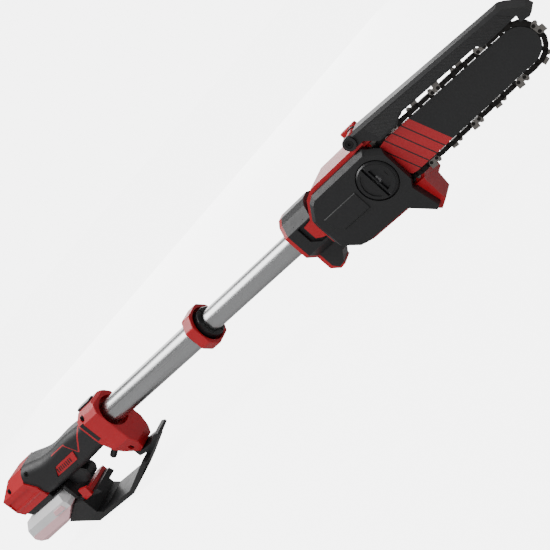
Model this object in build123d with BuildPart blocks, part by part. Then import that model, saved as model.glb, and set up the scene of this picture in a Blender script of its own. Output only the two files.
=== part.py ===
"""Telescoping pole saw: battery handle, two-section pole, and a saw head with a short guide bar.

X runs along the pole towards the tip of the bar, Z is up and -Y is the side with the cover and
the knob. The origin is on the pole's axis, in the middle of the stretch where it is held.
"""
import os
from math import acos, atan2, degrees, hypot, pi
from build123d import *

os.makedirs("parts", exist_ok=True)

# ---------------------------------------------------------------- driving dimensions (mm)
fit = 0.3                     # clearance between pieces that move past each other
joint_gap = 0.05              # clearance between a pin and the hole it sits in

# pole
lower_tube_diameter = 31.0
lower_tube_wall = 1.5
lower_tube_flats = 29.2       # distance across the two flats
upper_tube_diameter = 25.0
upper_tube_wall = 1.3
upper_tube_flats = 23.4
lower_tube_end = 146.0        # from the origin to the lower tube's open end
handle_front = -40.0          # from the origin back to the handle's front face
tube_in_handle = 40.0         # length of tube held inside the handle
upper_tube_shown = 165.0      # from the lower tube's end to the saw head's neck
upper_tube_hidden = 106.0     # length of upper tube inside the lower one

# clamp
ring_width = 45.0
ring_length = 14.0
ring_wall = 2.2
collet_diameter = 35.0
collet_nose = 12.0            # how far the collet stands out of the lower tube

# saw head
neck_length = 48.0
neck_width = 48.0
neck_top = 28.5
neck_bottom = 23.0
neck_rim = 4.0
housing_length = 111.0
housing_top = 33.5
housing_bottom = 40.5
housing_depth = 48.0          # along Y, without the cover's flange
shell_wall = 2.6
flange_depth = 5.0
flange_margin = 4.0           # how far the red flange stands out round the cover
cover_depth = 10.0
cover_chamfer = 4.5
hook_drop = 20.0              # branch hook below the cover's bottom edge
hook_base = 31.0

# cutting gear
bar_side = 27.0               # distance of the bar's middle plane from the pole's axis
bar_thickness = 3.2
bar_width = 40.0
bar_reach = 153.0             # from the housing's front to the bar's tip
bar_nose_radius = 17.0
bar_groove = 1.4
groove_depth = 5.0
chain_half_pitch = 6.35
chain_plate = 1.1
chain_rail = 2.9              # rivet line's height above the bar's edge
rivet_radius = 1.5
sprocket_teeth = 7
sprocket_thickness = 4.0
stud_to_sprocket = 23.0
knob_diameter = 38.0
knob_height = 4.2

# chain guard
guard_width = 22.0
guard_wall = 2.0
guard_top_rear = 46.4
guard_top_front = 37.4
hinge_boss_radius = 6.5
guard_overhang = 12.0         # how far the guard reaches past the bar's tip

# handle
front_housing_length = 38.0
front_housing_width = 42.0
front_housing_top = 27.5
chin_bottom = 56.0
grip_length = 130.0
grip_width = 38.0
grip_top = 18.5
grip_bottom = 24.0
grip_wall = 3.0
swell_top = 28.0
rear_housing_length = 65.0
rear_housing_width = 50.0
rear_housing_bottom = 19.0
guard_band_width = 54.0
guard_band_thickness = 6.0
guard_band_bottom = 87.0
rail_height = 8.0
battery_length = 99.0
battery_width = 62.0
battery_top_gap = 0.5
battery_bottom = 63.0
battery_split = 46.0
cell_diameter = 18.2
cell_length = 50.0
screw_head_diameter = 7.0
screw_shank_diameter = 3.6

# ---------------------------------------------------------------- stations worked out from them
grip_front = handle_front - front_housing_length
grip_rear = grip_front - grip_length
rear_end = grip_rear - rear_housing_length
neck_start = lower_tube_end + upper_tube_shown
housing_start = neck_start + neck_length - 11.0
housing_end = housing_start + housing_length
sprocket_x = housing_start + 59.0
stud_x = sprocket_x + stud_to_sprocket
bar_tip = housing_end + bar_reach
nose_x = bar_tip - bar_nose_radius
flange_far = -housing_depth / 2
flange_near = flange_far - flange_depth
cover_face = flange_near - cover_depth
guard_hinge_x = housing_end - 20.5
guard_hinge_height = housing_top + hinge_boss_radius + 0.5


# ---------------------------------------------------------------- helpers
def outline(*points):
    """Fill the closed outline through the points, in the sketch that is being made."""
    with BuildLine() as edge:
        Polyline(*points, close=True)
    make_face(edge.edges())


def side_plane(y):
    """Plane seen from the knob's side: its x is the tool's X, its y is Z, and it extrudes to -Y."""
    return Plane.XZ.offset(-y)


def cross_plane(x):
    """Plane across the pole: its x is the tool's Y, its y is Z, and it extrudes to +X."""
    return Plane.YZ.offset(x)


def tube_section(diameter, across_flats):
    """Round section with a flat on each side, which keeps the tubes from turning."""
    Circle(diameter / 2)
    Rectangle(across_flats, diameter, mode=Mode.INTERSECT)


def faceted(side, cross, inset=0.0):
    """Solid with one outline from the side and another from the end, both drawn in by the inset."""
    with BuildPart() as block:
        with BuildSketch(Plane.XZ):
            outline(*side)
            if inset:
                offset(amount=-inset, kind=Kind.INTERSECTION)
        extrude(amount=100, both=True)
        with BuildSketch(Plane.YZ):
            outline(*cross)
            if inset:
                offset(amount=-inset, kind=Kind.INTERSECTION)
        extrude(amount=2 * (bar_tip - rear_end), both=True, mode=Mode.INTERSECT)
    return block.part


def mirrored(points):
    """Half a section, from the bottom to the top on +Y, closed by its mirror image."""
    return [*points, *[(-y, z) for y, z in reversed(points)]]


def save(piece, name):
    """Label a finished piece and write it to its own file."""
    piece.label = name
    export_step(piece, f"parts/{name}.step")


# ================================================================ pole
lower_tube_start = handle_front - tube_in_handle
with BuildPart() as lower_tube:
    with BuildSketch(cross_plane(lower_tube_start)):
        tube_section(lower_tube_diameter, lower_tube_flats)
        offset(amount=-lower_tube_wall, mode=Mode.SUBTRACT)
    extrude(amount=lower_tube_end - lower_tube_start)
save(lower_tube.part, "lower_tube")

upper_tube_start = lower_tube_end - upper_tube_hidden
upper_tube_end = neck_start + neck_length - 8.0
with BuildPart() as upper_tube:
    with BuildSketch(cross_plane(upper_tube_start)):
        tube_section(upper_tube_diameter, upper_tube_flats)
        offset(amount=-upper_tube_wall, mode=Mode.SUBTRACT)
    extrude(amount=upper_tube_end - upper_tube_start)
save(upper_tube.part, "upper_tube")

# The lead to the head: straight tails and a coiled middle that stretches as the pole does.
lead_diameter = 5.0
lead_coil_radius = 6.6
lead_pitch = 9.0
lead_start = lower_tube_start + 6.0
lead_end = upper_tube_end - 6.0
with BuildPart() as pole_lead:
    with BuildLine() as lead_path:
        Helix(lead_pitch, lead_end - lead_start, lead_coil_radius, center=(0, 0, lead_start))
    with BuildSketch(Plane(lead_path.line @ 0, z_dir=lead_path.line % 0)):
        Circle(lead_diameter / 2)
    sweep(is_frenet=True)
pole_lead_part = pole_lead.part.rotate(Axis.Y, 90)
save(pole_lead_part, "pole_lead")

# Black collet that guides the upper tube: a skirt over the lower tube and a nose that is slit.
collet_start = lower_tube_end - 9.0
collet_end = lower_tube_end + collet_nose
collet_guide = 22.0
with BuildPart() as clamp_collet:
    with BuildSketch(cross_plane(collet_start)):
        Circle(collet_diameter / 2)
    extrude(amount=collet_end - collet_start)
    chamfer(clamp_collet.faces().sort_by(Axis.X)[-1].edges(), 1.0)
    with BuildSketch(cross_plane(collet_start)):
        tube_section(lower_tube_diameter + 2 * joint_gap, lower_tube_flats + 2 * joint_gap)
    extrude(amount=lower_tube_end - collet_start, mode=Mode.SUBTRACT)
    with BuildSketch(cross_plane(lower_tube_end - collet_guide)):
        bore = 2 * (lower_tube_wall + joint_gap)
        tube_section(lower_tube_diameter - bore, lower_tube_flats - bore)
    extrude(amount=collet_guide)
    with BuildSketch(cross_plane(lower_tube_end - collet_guide)):
        tube_section(upper_tube_diameter + 2 * fit, upper_tube_flats + 2 * fit)
    extrude(amount=collet_guide + collet_nose, mode=Mode.SUBTRACT)
    with BuildSketch(Plane.XY):
        with Locations((collet_end - 4, 0)):
            Rectangle(9, 1.6)
    extrude(amount=collet_diameter, both=True, mode=Mode.SUBTRACT)
    with BuildSketch(side_plane(-lower_tube_flats / 2 - joint_gap)):
        with Locations((collet_start - 1.5, 1.0)):
            Rectangle(5, 10)
    extrude(amount=2.0)
save(clamp_collet.part, "clamp_collet")

# Red ring that turns on the collet and squeezes it on to the upper tube.
ring_start = collet_start + 1.0
with BuildPart() as clamp_ring:
    with BuildSketch(cross_plane(ring_start)):
        Rectangle(ring_width, ring_width)
        chamfer(vertices(), ring_width * 0.24)
        fillet(vertices(), 5.0)
    extrude(amount=ring_length)
    fillet(clamp_ring.faces().filter_by(Axis.X).edges(), 1.0)
    with BuildSketch(cross_plane(ring_start)):
        Circle(collet_diameter / 2 + fit)
    extrude(amount=ring_length, mode=Mode.SUBTRACT)
    with BuildSketch(cross_plane(ring_start + 5.0)):
        Circle(ring_width / 2 - ring_wall)
    extrude(amount=ring_length - 5.0, mode=Mode.SUBTRACT)
save(clamp_ring.part, "clamp_ring")

# ================================================================ neck of the saw head
half_neck = neck_width / 2
neck_section = mirrored([
    (half_neck - 14, -neck_bottom),
    (half_neck, -neck_bottom + 10),
    (half_neck, neck_top - 14.5),
    (half_neck - 8.5, neck_top - 4),
    (half_neck - 17.5, neck_top),
])
with BuildPart() as neck_ring:
    with BuildSketch(cross_plane(neck_start)):
        outline(*neck_section)
    extrude(amount=neck_rim)
    fillet(neck_ring.edges().filter_by(Axis.X), 2.0)
    with BuildSketch(cross_plane(neck_start)):
        tube_section(upper_tube_diameter + 2 * joint_gap, upper_tube_flats + 2 * joint_gap)
    extrude(amount=neck_rim, mode=Mode.SUBTRACT)
save(neck_ring.part, "neck_ring")

# Window in each side of the neck, where the motor housing's red tongue shows.
window_start = neck_start + 17.0
window_top = neck_top - 15.5
window_bottom = -neck_bottom + 12.0
window_depth = 3.5
tongue_depth = 1.2
neck_shell_start = neck_start + neck_rim
neck_end = housing_start
hook_width = 20.0
hook_bottom = -45.0
with BuildPart() as neck:
    with BuildSketch(cross_plane(neck_shell_start)):
        outline(*neck_section)
    extrude(amount=neck_end - neck_shell_start)
    fillet(neck.edges().filter_by(Axis.X), 1.5)
    with BuildSketch(side_plane(hook_width / 2)):
        outline(
            (neck_shell_start, -neck_bottom + 1),
            (neck_end, -neck_bottom + 1),
            (neck_end, -neck_bottom - 9),
            (neck_start + 34, -neck_bottom - 9),
            (neck_start + 25, -neck_bottom - 11),
            (neck_start + 16, hook_bottom + 1),
            (neck_start + 9, hook_bottom),
            (neck_shell_start, hook_bottom + 6),
        )
    extrude(amount=hook_width)
    for y in (-half_neck, half_neck - window_depth):
        with BuildSketch(side_plane(y + window_depth)):
            outline(
                (window_start, window_top),
                (neck_end, window_top),
                (neck_end, window_bottom),
                (window_start + 9, window_bottom),
                (window_start, window_bottom + 7),
            )
        extrude(amount=window_depth, mode=Mode.SUBTRACT)
    with BuildSketch(cross_plane(neck_shell_start)):
        tube_section(upper_tube_diameter + 2 * joint_gap, upper_tube_flats + 2 * joint_gap)
    extrude(amount=neck_end - neck_shell_start, mode=Mode.SUBTRACT)
    for x in (neck_start + 15, neck_start + 28):
        with BuildSketch(Plane.XY.offset(neck_top - 12)):
            with Locations((x, 0)):
                Rectangle(1.0, neck_width)
            Rectangle(4 * neck_start, neck_width - 5, mode=Mode.SUBTRACT)
        extrude(amount=12, mode=Mode.SUBTRACT)
for side, keep in (("right", Keep.TOP), ("left", Keep.BOTTOM)):
    with BuildPart() as half:
        add(neck.part)
        split(bisect_by=Plane.XZ, keep=keep)
    save(half.part, f"neck_{side}")

# Red rim along the back of the hanging hook under the neck.
with BuildPart() as hook_rim:
    with BuildSketch(side_plane(hook_width / 2)):
        outline(
            (neck_start, -neck_bottom - joint_gap),
            (neck_shell_start, -neck_bottom - joint_gap),
            (neck_shell_start, hook_bottom + 6),
            (neck_start + 9, hook_bottom),
            (neck_start + 16, hook_bottom + 1),
            (neck_start + 16, hook_bottom - 1),
            (neck_start + 9, hook_bottom - 2),
            (neck_start, hook_bottom + 5),
        )
    extrude(amount=hook_width)
save(hook_rim.part, "hook_rim")

# ================================================================ motor housing
rim_points = [
    (housing_start + 14, housing_top - 5),
    (housing_start + 1, housing_top - 20),
    (housing_start, housing_top - 28),
    (housing_start, -housing_bottom + 24),
    (housing_start + 3, -housing_bottom + 17),
    (housing_start + 21, -housing_bottom + 2),
    (housing_start + 31, -housing_bottom),
]
hook_front = housing_end - 2
hook_tip = (housing_end - 11, -housing_bottom - hook_drop)
hook_points = [
    (housing_end - hook_base, -housing_bottom),
    hook_tip,
    (hook_front, hook_tip[1] + 5),
    (hook_front, -bar_width / 2 - 12),
]
head_side = [
    (housing_start + 25, housing_top),
    *rim_points,
    *hook_points,
    (housing_end, -bar_width / 2 - 4),
    (housing_end, housing_top - 14),
    (housing_end - 16, housing_top),
]
half_depth = housing_depth / 2
head_cross = [
    (-half_depth, -100),
    (-half_depth, housing_top + 1),
    (half_depth - 9, housing_top + 1),
    (half_depth - 9, housing_top),
    (half_depth - 2, housing_top - 7),
    (half_depth, housing_top - 14),
    (half_depth, -housing_bottom + 16),
    (half_depth - 8, -housing_bottom),
    (half_depth - 8, -housing_bottom - 1),
    (half_depth - 22, -housing_bottom - 1),
    (half_depth - 40, -100),
]
with BuildPart() as head_cavity:
    with BuildSketch(side_plane(half_depth - shell_wall)):
        outline(
            (housing_start + 25, housing_top),
            *rim_points,
            (housing_end - hook_base + 4, -housing_bottom),
            (housing_end, -housing_bottom + 16),
            (housing_end, housing_top - 12),
            (housing_end - 12, housing_top),
        )
        offset(amount=-shell_wall - 6, kind=Kind.INTERSECTION)
    extrude(amount=housing_depth - 2 * shell_wall)

shaft_diameter = 8.0
shaft_hole = shaft_diameter + 4.0
bearing_diameter = 19.0
bearing_width = 6.0
stud_diameter = 8.0
cover_side = [
    (housing_start + 23, housing_top),
    *rim_points,
    *hook_points[:3],
    (housing_end - 7, -housing_bottom + 14),
    (housing_end - 2, -bar_width / 2),
    (housing_end - 2, housing_top - 13),
    (housing_end - 14, housing_top - 4),
    (housing_end - 16, housing_top),
]
lug_radius = hinge_boss_radius
lug_near = -(bar_side + guard_width / 2 - guard_wall - fit)
lug_far = -(bar_side - guard_width / 2 + guard_wall + fit)
hinge_screw_diameter = 4.0
cap_x = housing_end - 34
cap_y = 9.0
cap_diameter = 21.0
filler_diameter = 12.0

with BuildPart() as motor_housing:
    add(faceted(head_side, head_cross))
    with BuildSketch(side_plane(flange_far)):
        outline(*head_side)
    extrude(amount=flange_depth)
    add(head_cavity.part, mode=Mode.SUBTRACT)
    # hinge lug of the chain guard
    with BuildSketch(side_plane(lug_far)):
        with Locations((guard_hinge_x, guard_hinge_height)):
            Circle(lug_radius - 1)
        outline(
            (guard_hinge_x - 8, housing_top - 2),
            (guard_hinge_x + 7, housing_top - 2),
            (guard_hinge_x + lug_radius - 1, guard_hinge_height),
            (guard_hinge_x - lug_radius + 1, guard_hinge_height),
        )
    extrude(amount=lug_far - lug_near)
    with BuildSketch(side_plane(0)):
        with Locations((guard_hinge_x, guard_hinge_height)):
            Circle(hinge_screw_diameter / 2 + joint_gap)
    extrude(amount=60, mode=Mode.SUBTRACT)
    # boss round the oil filler
    with BuildSketch(Plane.XY.offset(housing_top - 12)):
        with Locations((cap_x, cap_y)):
            Circle(filler_diameter / 2 + 2)
    extrude(amount=12 + 1.5)
    with BuildSketch(Plane.XY.offset(housing_top - 12)):
        with Locations((cap_x, cap_y)):
            Circle(filler_diameter / 2)
    extrude(amount=20, mode=Mode.SUBTRACT)
    # seat for the near bearing, hole for the shaft and hole for the bar's stud
    with BuildSketch(side_plane(flange_far + 4)):
        with Locations((sprocket_x, 0)):
            Circle(bearing_diameter / 2 + 2.5)
    extrude(amount=flange_depth)
    with BuildSketch(side_plane(flange_far + bearing_width)):
        with Locations((sprocket_x, 0)):
            Circle(bearing_diameter / 2)
    extrude(amount=bearing_width, mode=Mode.SUBTRACT)
    with BuildSketch(side_plane(0)):
        with Locations((sprocket_x, 0)):
            Circle(shaft_hole / 2)
        with Locations((stud_x, 0)):
            Circle(stud_diameter / 2 + joint_gap)
    extrude(amount=60, mode=Mode.SUBTRACT)
    # recess in the flange where the sprocket, the bar's tail and the chain run
    with BuildSketch(side_plane(flange_far)):
        outline(
            (sprocket_x - 22, -bar_width / 2 - 8),
            (housing_end + 1, -bar_width / 2 - 8),
            (housing_end + 1, bar_width / 2 + 8),
            (sprocket_x - 22, bar_width / 2 + 8),
        )
    extrude(amount=flange_depth + 1, mode=Mode.SUBTRACT)
    # pole socket
    with BuildSketch(cross_plane(housing_start - 1)):
        tube_section(upper_tube_diameter + 2 * joint_gap, upper_tube_flats + 2 * joint_gap)
    extrude(amount=upper_tube_end - housing_start + 1, mode=Mode.SUBTRACT)
    # red tongues that show in the neck's windows
    for y in (-half_neck + tongue_depth, half_neck - tongue_depth):
        inner = y + tongue_depth if y < 0 else y
        with BuildSketch(side_plane(inner)):
            outline(
                (window_start + 6, window_top - 3),
                (housing_start, window_top - 1),
                (housing_start, window_bottom + 1),
                (window_start + 13, window_bottom + 2),
                (window_start + 6, window_bottom + 6),
            )
        extrude(amount=tongue_depth)
for side, keep in (("right", Keep.TOP), ("left", Keep.BOTTOM)):
    with BuildPart() as half:
        add(motor_housing.part)
        split(bisect_by=Plane.XZ, keep=keep)
    save(half.part, f"motor_housing_{side}")

# ================================================================ side cover and knob
pocket_depth = 3.4
pocket_radius = knob_diameter / 2 + 1.0
knob_collar = 7.0
with BuildPart() as side_cover:
    with BuildSketch(side_plane(flange_near)):
        outline(*cover_side)
        offset(amount=-flange_margin, kind=Kind.INTERSECTION)
    extrude(amount=cover_depth)
    face_edges = side_cover.faces().sort_by(Axis.Y)[0].edges()
    raised = face_edges.filter_by(lambda e: e.center().Z > -15 and e.center().X < housing_end - 8)
    chamfer(raised, cover_chamfer)
    # hollow behind the face, open towards the bar
    with BuildSketch(side_plane(flange_near)):
        outline(
            (sprocket_x - 24, -bar_width / 2 - 9),
            (housing_end + 1, -bar_width / 2 - 9),
            (housing_end + 1, bar_width / 2 + 6),
            (sprocket_x - 24, bar_width / 2 + 6),
        )
    extrude(amount=cover_depth - shell_wall - pocket_depth, mode=Mode.SUBTRACT)
    # round pocket for the knob
    with BuildSketch(side_plane(cover_face + pocket_depth)):
        with Locations((stud_x, 0)):
            Circle(pocket_radius)
    extrude(amount=pocket_depth + 1, mode=Mode.SUBTRACT)
    with BuildSketch(side_plane(cover_face + cover_depth)):
        with Locations((stud_x, 0)):
            Circle(knob_collar + fit)
    extrude(amount=cover_depth + 1, mode=Mode.SUBTRACT)
    # raised pad with a chamfered edge behind the knob
    with BuildSketch(side_plane(cover_face + 0.5)):
        outline(
            (housing_start + 16, 6.5),
            (stud_x - pocket_radius - 3, 6.5),
            (stud_x - pocket_radius - 3, -14),
            (housing_start + 24, -14),
            (housing_start + 16, -6),
        )
    extrude(amount=1.5, taper=35)
save(side_cover.part, "side_cover")

knob_top = cover_face + pocket_depth - fit - knob_height
flip_thickness = 2.4
flip_floor = knob_top + 2.8
flip_y = flip_floor - fit - flip_thickness / 2
flip_pin_x = stud_x - 0.2
flip_pin_radius = 0.8
with BuildPart() as bar_knob:
    with BuildSketch(side_plane(cover_face + pocket_depth - fit)):
        with Locations((stud_x, 0)):
            Circle(knob_diameter / 2)
    extrude(amount=knob_height)
    knob_rim = bar_knob.faces().sort_by(Axis.Y)[0].edges()
    chamfer(knob_rim, 1.2)
    with BuildSketch(side_plane(flange_near - 2.0)):
        with Locations((stud_x, 0)):
            Circle(knob_collar)
    extrude(amount=cover_depth - pocket_depth - 2.0 + fit)
    with BuildSketch(side_plane(flange_far)):
        with Locations((stud_x, 0)):
            Circle(stud_diameter / 2 + joint_gap)
    extrude(amount=flange_depth + cover_depth - 1.0, mode=Mode.SUBTRACT)
    # pocket that the folding grip lies in
    with BuildSketch(side_plane(flip_floor)):
        with Locations((stud_x, 0)):
            Circle(knob_diameter / 2 - 2.0)
        with Locations((stud_x - knob_diameter / 2 - 3, 0)):
            Rectangle(knob_diameter, knob_diameter, mode=Mode.SUBTRACT)
    extrude(amount=3, mode=Mode.SUBTRACT)
    # finger hollow on the other half
    with BuildSketch(side_plane(knob_top + 1.0)):
        with Locations((stud_x, 0)):
            Circle(knob_diameter / 2 - 4.0)
            Circle(knob_diameter / 2 - 7.5, mode=Mode.SUBTRACT)
        with Locations((stud_x + knob_diameter / 2 - 7, 0)):
            Rectangle(knob_diameter, knob_diameter, mode=Mode.SUBTRACT)
    extrude(amount=3, mode=Mode.SUBTRACT)
    with BuildSketch(Plane.XY):
        with Locations((flip_pin_x, flip_y)):
            Circle(flip_pin_radius)
    extrude(amount=knob_diameter / 2 - 1.0, both=True, mode=Mode.SUBTRACT)
save(bar_knob.part, "bar_knob")

# Folding D grip: it lies flat in the knob and swings out about a pin along Z.
with BuildPart() as knob_grip:
    with BuildSketch(side_plane(flip_y + flip_thickness / 2)):
        with Locations((stud_x, 0)):
            Circle(knob_diameter / 2 - 2.0 - fit)
            Circle(knob_diameter / 2 - 7.0, mode=Mode.SUBTRACT)
        with Locations((stud_x + 10, 0)):
            Rectangle(3.0, knob_diameter - 16)
        with Locations((flip_pin_x - knob_diameter / 2, 0)):
            Rectangle(knob_diameter, knob_diameter, mode=Mode.SUBTRACT)
    extrude(amount=flip_thickness)
    with BuildSketch(Plane.XY):
        with Locations((flip_pin_x, flip_y)):
            Circle(flip_thickness / 2)
    extrude(amount=knob_diameter / 2 - 4.0, both=True)
    with BuildSketch(Plane.XY):
        with Locations((flip_pin_x, flip_y)):
            Circle(flip_pin_radius + joint_gap)
    extrude(amount=knob_diameter, both=True, mode=Mode.SUBTRACT)
save(knob_grip.part, "knob_grip")

with BuildPart() as knob_pin:
    with BuildSketch(Plane.XY):
        with Locations((flip_pin_x, flip_y)):
            Circle(flip_pin_radius)
    extrude(amount=knob_diameter / 2 - 1.0, both=True)
save(knob_pin.part, "knob_pin")

with BuildPart() as bar_stud:
    with BuildSketch(side_plane(flange_far + 8.0)):
        with Locations((stud_x, 0)):
            RegularPolygon(stud_diameter * 0.8, 6)
    extrude(amount=4.0)
    with BuildSketch(side_plane(flange_far + 4.0)):
        with Locations((stud_x, 0)):
            Circle(stud_diameter / 2)
    extrude(amount=flange_depth + cover_depth - 1.0)
save(bar_stud.part, "bar_stud")

# ================================================================ guide bar and chain
slot_length = 14.0
bar_tail = sprocket_x + 15.0
half_bar = bar_width / 2
tail_drop = 6.5               # how far the bar narrows towards the sprocket


def bar_outline(inset=0.0):
    """Closed outline of the guide bar, drawn in by the inset: nose arc, long edges, blunt tail."""
    nose = bar_nose_radius - inset
    heel = half_bar - inset
    end = bar_tail + inset
    with BuildLine() as edge:
        CenterArc((nose_x, 0), nose, -90, 180)
        for up in (1, -1):
            Line((nose_x, up * nose), (housing_end, up * heel))
            Line((housing_end, up * heel), (end + 5, up * (heel - tail_drop)))
            Line((end + 5, up * (heel - tail_drop)), (end, up * (heel - tail_drop - 4)))
        Line((end, heel - tail_drop - 4), (end, tail_drop + 4 - heel))
    make_face(edge.edges())


with BuildPart() as bar_core:
    with BuildSketch(side_plane(-bar_side + bar_groove / 2)):
        bar_outline(groove_depth)
    extrude(amount=bar_groove)
with BuildPart() as guide_bar:
    with BuildSketch(side_plane(-bar_side + bar_thickness / 2)):
        bar_outline()
    extrude(amount=bar_thickness)
    with BuildSketch(side_plane(-bar_side + bar_groove / 2)):
        bar_outline()
    extrude(amount=bar_groove, mode=Mode.SUBTRACT)
    add(bar_core.part)
    with BuildSketch(side_plane(-bar_side + bar_thickness)):
        with Locations((stud_x, 0)):
            SlotOverall(slot_length, stud_diameter + 1.0)
    extrude(amount=2 * bar_thickness, mode=Mode.SUBTRACT)
save(guide_bar.part, "guide_bar")

# The rivet line is a belt round the sprocket, over the bar's shoulders and round its nose.
sprocket_pitch_radius = sprocket_teeth * 2 * chain_half_pitch / (2 * pi)
shoulder = (housing_end, half_bar + chain_rail)
nose_belt = bar_nose_radius + chain_rail


def touch_angle(x, radius, side):
    """Angle on the circle at which a line from the shoulder touches it from above."""
    away = hypot(shoulder[0] - x, shoulder[1])
    return atan2(shoulder[1], shoulder[0] - x) + side * acos(radius / away)


touch_nose = touch_angle(nose_x, nose_belt, -1)
touch_drive = touch_angle(sprocket_x, sprocket_pitch_radius, 1)
with BuildLine() as belt:
    drive_arc = CenterArc(
        (sprocket_x, 0), sprocket_pitch_radius, degrees(touch_drive), 360 - 2 * degrees(touch_drive)
    )
    nose_arc = CenterArc((nose_x, 0), nose_belt, -degrees(touch_nose), 2 * degrees(touch_nose))
    Polyline(drive_arc @ 1, (shoulder[0], -shoulder[1]), nose_arc @ 0)
    Polyline(nose_arc @ 1, shoulder, drive_arc @ 0)
belt_wire = belt.wires()[0]
half_links = 4 * round(belt_wire.length / (4 * chain_half_pitch))
pitch = belt_wire.length / half_links
rivets = [belt_wire @ (k / half_links) for k in range(half_links)]
plate_height = 4.2
middle_layer = -bar_side + chain_plate / 2
right_layer = middle_layer - chain_plate - joint_gap
left_layer = middle_layer + chain_plate + joint_gap

# A plate is drawn from rivet to rivet along x, with the bar above it and the wood below.
with BuildSketch() as tie_shape:
    with Locations((pitch / 2, 0)):
        SlotOverall(pitch + plate_height, plate_height)
with BuildSketch() as drive_shape:
    add(tie_shape.sketch)
    outline((pitch / 2 - 2.6, 0), (pitch / 2 + 2.6, 0), (pitch / 2 + 0.8, 6.2), (pitch / 2 - 0.8, 6.2))
with BuildSketch() as cutter_shape:
    add(tie_shape.sketch)
    outline(
        (-2.6, 0),
        (-3.4, -5.0),
        (pitch - 3.8, -5.6),
        (pitch - 3.0, -2.6),
        (pitch - 1.6, -2.6),
        (pitch - 0.4, -4.2),
        (pitch + 1.6, -4.6),
        (pitch + 3.0, -3.0),
        (pitch + 2.6, 0),
    )


def chain_plates(y, shape, links):
    """The plates of one kind in one layer, each laid on its two rivets."""
    with BuildPart() as plates:
        with BuildSketch(side_plane(y)):
            for k in links:
                a, b = rivets[k], rivets[(k + 1) % half_links]
                turn = degrees(atan2(b.Y - a.Y, b.X - a.X))
                with Locations(Location((a.X, a.Y, 0), (0, 0, turn))):
                    add(shape.sketch)
            with Locations(*[(p.X, p.Y) for p in rivets]):
                Circle(rivet_radius + joint_gap, mode=Mode.SUBTRACT)
        extrude(amount=chain_plate)
    return plates.part


outer_links = range(1, half_links, 2)
right_cutters = [k for k in outer_links if k % 8 == 1]
left_cutters = [k for k in outer_links if k % 8 == 5]
with BuildPart() as chain_drive_links:
    add(chain_plates(middle_layer, drive_shape, range(0, half_links, 2)))
save(chain_drive_links.part, "chain_drive_links")
with BuildPart() as chain_tie_straps:
    add(chain_plates(right_layer, tie_shape, [k for k in outer_links if k not in right_cutters]))
    add(chain_plates(left_layer, tie_shape, [k for k in outer_links if k not in left_cutters]))
save(chain_tie_straps.part, "chain_tie_straps")
with BuildPart() as chain_cutters:
    add(chain_plates(right_layer, cutter_shape, right_cutters))
    add(chain_plates(left_layer, cutter_shape, left_cutters))
save(chain_cutters.part, "chain_cutters")
rivet_length = 3 * chain_plate + 2 * joint_gap + 1.0
with BuildPart() as chain_rivets:
    with BuildSketch(side_plane(-bar_side + rivet_length / 2)):
        with Locations(*[(p.X, p.Y) for p in rivets]):
            Circle(rivet_radius)
    extrude(amount=rivet_length)
save(chain_rivets.part, "chain_rivets")
print("chain: half links", half_links, "pitch", round(pitch, 3))

# ================================================================ motor and sprocket
# The sprocket's teeth stop short of the drive links, because the chain itself stands still.
sprocket_tip = sprocket_pitch_radius - 6.2 - 1.0
rotor_diameter = 42.0
rotor_length = 16.0
stator_diameter = 36.0
far_wall = half_depth - shell_wall
bearing_far = far_wall - 0.5
with BuildPart() as drive_sprocket:
    with BuildSketch(side_plane(-bar_side + sprocket_thickness / 2)):
        Circle(sprocket_tip - 1.6)
        with PolarLocations(sprocket_tip - 1.6, sprocket_teeth):
            Rectangle(3.2, 2.6)
        Circle(shaft_diameter / 2 + joint_gap, mode=Mode.SUBTRACT)
    extrude(amount=sprocket_thickness)
drive_sprocket_part = drive_sprocket.part.moved(Location((sprocket_x, 0, 0)))
save(drive_sprocket_part, "drive_sprocket")

with BuildPart() as motor_shaft:
    with BuildSketch(side_plane(bearing_far)):
        with Locations((sprocket_x, 0)):
            Circle(shaft_diameter / 2)
    extrude(amount=bearing_far + bar_side + sprocket_thickness / 2 + 0.8)
save(motor_shaft.part, "motor_shaft")

rotor_far = far_wall - bearing_width - 1.5
with BuildPart() as motor_rotor:
    with BuildSketch(side_plane(rotor_far)):
        with Locations((sprocket_x, 0)):
            Circle(rotor_diameter / 2)
    extrude(amount=rotor_length + 3)
    with BuildSketch(side_plane(rotor_far - 3)):
        with Locations((sprocket_x, 0)):
            Circle(stator_diameter / 2 + 1.0)
            Circle(shaft_diameter / 2 + 3.0, mode=Mode.SUBTRACT)
    extrude(amount=rotor_length, mode=Mode.SUBTRACT)
    with BuildSketch(side_plane(rotor_far)):
        with Locations((sprocket_x, 0)):
            Circle(shaft_diameter / 2 + joint_gap)
            with PolarLocations(stator_diameter / 2 - 5, 6):
                Circle(3.0)
    extrude(amount=rotor_length + 3, mode=Mode.SUBTRACT)
save(motor_rotor.part, "motor_rotor")

stator_far = rotor_far - 3 - 1.5
with BuildPart() as motor_stator:
    with BuildSketch(side_plane(stator_far)):
        with Locations((sprocket_x, 0)):
            Circle(shaft_diameter / 2 + 8.0)
            with PolarLocations(stator_diameter / 2 - 6, 9):
                Rectangle(10.0, 4.0)
            Circle(shaft_diameter / 2 + 4.0, mode=Mode.SUBTRACT)
    extrude(amount=rotor_length - 1.0)
    with BuildSketch(side_plane(stator_far - rotor_length + 1.0)):
        with Locations((sprocket_x, 0)):
            Circle(stator_diameter / 2 + 4)
            Circle(shaft_diameter / 2 + 4.0, mode=Mode.SUBTRACT)
    extrude(amount=2.0)
save(motor_stator.part, "motor_stator")

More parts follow.
